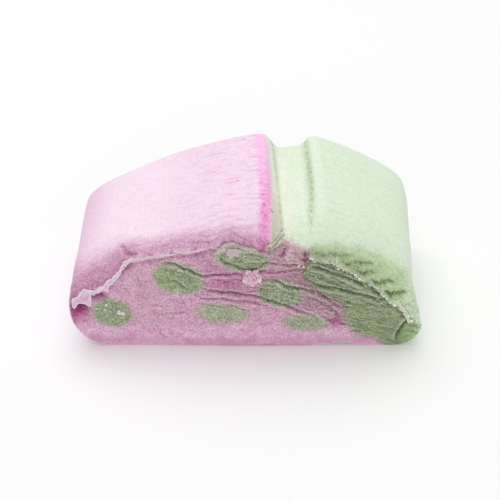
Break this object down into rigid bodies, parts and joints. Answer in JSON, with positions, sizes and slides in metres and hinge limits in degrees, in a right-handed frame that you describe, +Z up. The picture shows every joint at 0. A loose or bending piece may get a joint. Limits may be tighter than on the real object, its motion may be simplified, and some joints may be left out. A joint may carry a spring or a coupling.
{
  "type": "marshmallow piece",
  "caption": "Cut piece of a grooved rope marshmallow: soft pink body, green cap and green strands that show as dots at both cuts.",
  "frame": {"origin": "middle of the bounding box's bottom, on the surface the piece rests on", "axes": "+X across the rope from the pink side to the green side, +Y along the rope from the front cut to the back cut, +Z up"},
  "size_m": [0.0443, 0.0232, 0.0198],
  "materials": {
    "pink_marshmallow": "soft pale pink sugar foam with a dull starch-dusted skin and a deeper mauve pink at the cuts",
    "green_marshmallow": "soft pale green sugar foam with a dull starch-dusted skin and a deeper olive green at the cuts",
    "strand_marshmallow": "dull grey green sugar foam, seen only at the cuts"
  },
  "bodies": {
    "root": {"pink_body": "pink_marshmallow", "green_cap": "green_marshmallow", "green_strand_1": "strand_marshmallow", "green_strand_2": "strand_marshmallow", "green_strand_3": "strand_marshmallow", "green_strand_4": "strand_marshmallow", "green_strand_5": "strand_marshmallow", "green_strand_6": "strand_marshmallow"}
  },
  "joints": []
}
